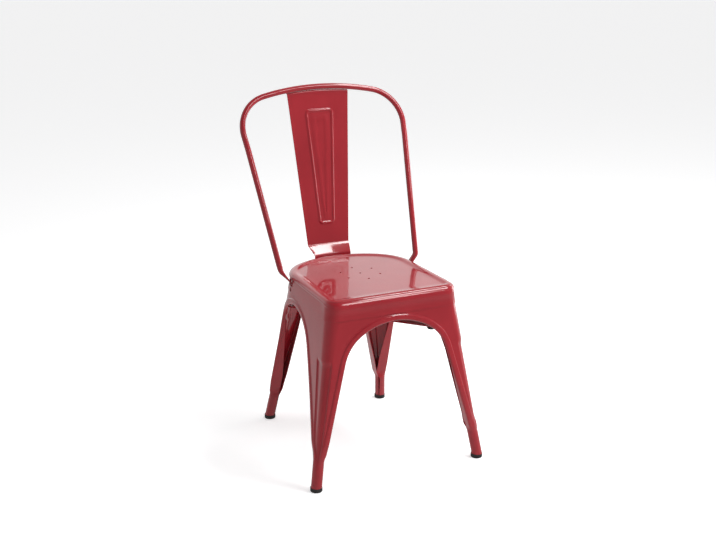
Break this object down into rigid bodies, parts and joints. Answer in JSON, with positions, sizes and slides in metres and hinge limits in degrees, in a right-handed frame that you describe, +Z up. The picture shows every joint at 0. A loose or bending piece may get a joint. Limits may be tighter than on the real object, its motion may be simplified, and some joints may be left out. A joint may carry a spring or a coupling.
{
  "type": "metal bistro chair",
  "caption": "Stackable bistro chair in glossy red pressed steel, with a bent tube back, a tapering centre slat, splayed sheet legs and black rubber feet.",
  "frame": {"origin": "on the floor, under the middle of the chair's whole width and depth", "axes": "+Z up, the chair faces -Y, +X to the right of a viewer who looks at its front"},
  "size_m": [0.447, 0.4846, 0.848],
  "materials": {
    "red_enamel": "gloss enamel over pressed steel",
    "black_rubber": "matte moulded rubber",
    "zinc_steel": "zinc plated, satin"
  },
  "bodies": {
    "root": {"seat_pan": "red_enamel", "back_hoop": "red_enamel", "back_slat": "red_enamel", "leg_front_left": "red_enamel", "leg_front_right": "red_enamel", "leg_rear_left": "red_enamel", "leg_rear_right": "red_enamel", "rubber_foot_front_left": "black_rubber", "rubber_foot_front_right": "black_rubber", "rubber_foot_rear_left": "black_rubber", "rubber_foot_rear_right": "black_rubber", "brace_bar_lower": "red_enamel", "brace_bar_upper": "red_enamel", "brace_rivet": "red_enamel", "stacking_pad_front_lower": "black_rubber", "stacking_pad_rear_lower": "black_rubber", "stacking_pad_front_upper": "black_rubber", "stacking_pad_rear_upper": "black_rubber", "hoop_screw_left": "red_enamel", "hoop_screw_right": "red_enamel", "hoop_nut_left": "zinc_steel", "hoop_nut_right": "zinc_steel", "slat_rivet_left": "red_enamel", "slat_rivet_right": "red_enamel"}
  },
  "joints": []
}
